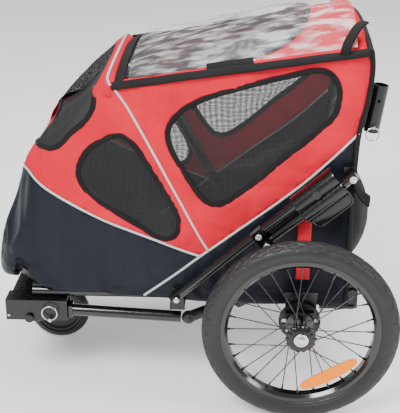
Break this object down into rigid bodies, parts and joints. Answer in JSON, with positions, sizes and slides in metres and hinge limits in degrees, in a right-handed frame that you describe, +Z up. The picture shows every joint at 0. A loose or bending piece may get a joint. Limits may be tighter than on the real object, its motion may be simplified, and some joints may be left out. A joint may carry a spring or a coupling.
{
  "type": "bicycle trailer",
  "caption": "Two-wheeled bicycle trailer with a folding fabric cabin, mesh windows, a clear rain cover, a fold-away tow bar and a front caster.",
  "frame": {"origin": "on the ground under the middle of the whole trailer", "axes": "+X to the rear, -X to the nose, +Y to the right side, -Y to the left (tow bar) side, +Z up; the ground is Z = 0"},
  "size_m": [0.825, 0.686, 0.8135],
  "materials": {
    "black_tube": "gloss black powder coat",
    "black_bracket": "black powder coat",
    "black_plastic": "moulded black plastic",
    "caster_core": "matt black plastic",
    "zinc": "bright zinc plate",
    "hitch_steel": "dark grey paint",
    "tyre_rubber": "black tyre rubber",
    "rim_black": "gloss black",
    "spoke_steel": "dark plated steel",
    "reflector_amber": "clear amber prisms",
    "red_fabric": "woven polyester, bright red",
    "navy_fabric": "coated woven polyester, dark navy",
    "mesh_fabric": "fine black mesh",
    "floor_board": "black board with fabric mat",
    "clear_sheet": "clear flexible sheet"
  },
  "bodies": {
    "chassis": {"floor_tubes": "black_tube", "axle_beam": "black_tube", "wheel_receiver_left": "black_bracket", "wheel_receiver_right": "black_bracket", "hoop_lugs": "black_bracket", "brace_feet": "black_bracket", "drawbar_bracket": "black_bracket", "caster_bracket": "black_bracket", "rear_brackets": "black_plastic", "floor_panel": "floor_board", "cabin_side_left": "red_fabric", "cabin_side_right": "red_fabric", "side_windows_left": "mesh_fabric", "side_windows_right": "mesh_fabric", "cabin_front_lower": "navy_fabric", "cabin_front_upper": "red_fabric", "front_window": "mesh_fabric", "cabin_rear": "navy_fabric", "cabin_roof": "red_fabric", "rain_cover": "clear_sheet", "side_straps": "red_fabric", "wheel_axle_left": "zinc", "wheel_axle_right": "zinc"},
    "rear_hoop": {"rear_hoop": "black_tube", "hoop_brackets": "black_bracket", "handlebar_socket_left": "black_bracket", "handlebar_socket_right": "black_bracket"},
    "front_hoop": {"front_hoop": "black_tube"},
    "caster_fork": {"caster_fork": "black_bracket"},
    "caster_wheel": {"caster_wheel": "caster_core", "caster_tyre": "tyre_rubber"},
    "tow_bar": {"tow_bar": "black_tube", "tow_hitch": "hitch_steel"},
    "tow_lock_pin": {"tow_lock_pin": "zinc"},
    "wheel_left": {"tyre_left": "tyre_rubber", "rim_left": "rim_black", "spokes_left": "spoke_steel", "hub_left": "rim_black", "reflector_left": "reflector_amber"},
    "release_button_left": {"release_button_left": "zinc"},
    "socket_pin_left": {"socket_pin_left": "zinc"},
    "brace_lower_left": {"brace_lower_left": "black_tube", "hinge_bolt_left": "zinc"},
    "brace_upper_left": {"brace_upper_left": "black_tube", "lock_block_left": "black_plastic", "brace_bolt_left": "zinc"},
    "lock_button_left": {"lock_button_left": "black_plastic"},
    "wheel_right": {"tyre_right": "tyre_rubber", "rim_right": "rim_black", "spokes_right": "spoke_steel", "hub_right": "rim_black", "reflector_right": "reflector_amber"},
    "release_button_right": {"release_button_right": "zinc"},
    "socket_pin_right": {"socket_pin_right": "zinc"},
    "brace_lower_right": {"brace_lower_right": "black_tube", "hinge_bolt_right": "zinc"},
    "brace_upper_right": {"brace_upper_right": "black_tube", "lock_block_right": "black_plastic", "brace_bolt_right": "zinc"},
    "lock_button_right": {"lock_button_right": "black_plastic"}
  },
  "joints": [
    {"name": "rear_hoop_fold", "type": "hinge", "parent": "chassis", "child": "rear_hoop", "pos_m": [0.222, 0, 0.256], "axis": [0, -1, 0], "range_deg": [0, 85], "deforming": ["cabin_side_left", "cabin_side_right", "side_windows_left", "side_windows_right", "cabin_front_lower", "cabin_front_upper", "front_window", "cabin_rear", "cabin_roof", "rain_cover", "side_straps"]},
    {"name": "front_hoop_fold", "type": "hinge", "parent": "chassis", "child": "front_hoop", "pos_m": [0.076, 0, 0.256], "axis": [0, -1, 0], "range_deg": [0, 51]},
    {"name": "wheel_left_spin", "type": "hinge", "parent": "chassis", "child": "wheel_left", "pos_m": [0.212, -0.3, 0.2], "axis": [0, 1, 0], "continuous": true},
    {"name": "release_button_left_press", "type": "slide", "parent": "chassis", "child": "release_button_left", "axis": [0, 1, 0], "range_m": [0, 0.003], "stiffness_N_per_m": 300},
    {"name": "brace_lower_left_fold", "type": "hinge", "parent": "chassis", "child": "brace_lower_left", "pos_m": [-0.041, -0.24, 0.241], "axis": [0, -1, 0], "range_deg": [0, 121]},
    {"name": "brace_upper_left_fold", "type": "hinge", "parent": "brace_lower_left", "child": "brace_upper_left", "pos_m": [0.141, -0.24, 0.3673], "axis": [0, -1, 0], "range_deg": [-156, 0]},
    {"name": "lock_button_left_press", "type": "slide", "parent": "brace_upper_left", "child": "lock_button_left", "axis": [0, 1, 0], "range_m": [0, 0.0035], "stiffness_N_per_m": 400},
    {"name": "socket_pin_left_pull", "type": "slide", "parent": "rear_hoop", "child": "socket_pin_left", "axis": [0, -1, 0], "range_m": [0, 0.05]},
    {"name": "wheel_right_spin", "type": "hinge", "parent": "chassis", "child": "wheel_right", "pos_m": [0.212, 0.3, 0.2], "axis": [0, 1, 0], "continuous": true},
    {"name": "release_button_right_press", "type": "slide", "parent": "chassis", "child": "release_button_right", "axis": [0, -1, 0], "range_m": [0, 0.003], "stiffness_N_per_m": 300},
    {"name": "brace_lower_right_fold", "type": "hinge", "parent": "chassis", "child": "brace_lower_right", "pos_m": [-0.041, 0.24, 0.241], "axis": [0, -1, 0], "range_deg": [0, 121]},
    {"name": "brace_upper_right_fold", "type": "hinge", "parent": "brace_lower_right", "child": "brace_upper_right", "pos_m": [0.141, 0.24, 0.3673], "axis": [0, -1, 0], "range_deg": [-156, 0]},
    {"name": "lock_button_right_press", "type": "slide", "parent": "brace_upper_right", "child": "lock_button_right", "axis": [0, -1, 0], "range_m": [0, 0.0035], "stiffness_N_per_m": 400},
    {"name": "socket_pin_right_pull", "type": "slide", "parent": "rear_hoop", "child": "socket_pin_right", "axis": [0, 1, 0], "range_m": [0, 0.05]},
    {"name": "caster_swivel", "type": "hinge", "parent": "chassis", "child": "caster_fork", "pos_m": [-0.383, 0, 0.18], "axis": [0, 0, 1], "continuous": true},
    {"name": "caster_spin", "type": "hinge", "parent": "caster_fork", "child": "caster_wheel", "pos_m": [-0.336, 0, 0.07], "axis": [0, 1, 0], "continuous": true},
    {"name": "tow_bar_fold", "type": "hinge", "parent": "chassis", "child": "tow_bar", "pos_m": [-0.358, -0.194, 0.169], "axis": [0, 1, 0], "range_deg": [0, 180]},
    {"name": "tow_lock_pin_push", "type": "slide", "parent": "chassis", "child": "tow_lock_pin", "axis": [0, 1, 0], "range_m": [0, 0.008]}
  ],
  "couplings": [
    {"joint": "front_hoop_fold", "follows": "rear_hoop_fold", "ratio": 0.6},
    {"joint": "brace_lower_left_fold", "follows": "rear_hoop_fold", "ratio": 1.4164},
    {"joint": "brace_upper_left_fold", "follows": "rear_hoop_fold", "ratio": -1.8235},
    {"joint": "brace_lower_right_fold", "follows": "rear_hoop_fold", "ratio": 1.4164},
    {"joint": "brace_upper_right_fold", "follows": "rear_hoop_fold", "ratio": -1.8235}
  ]
}
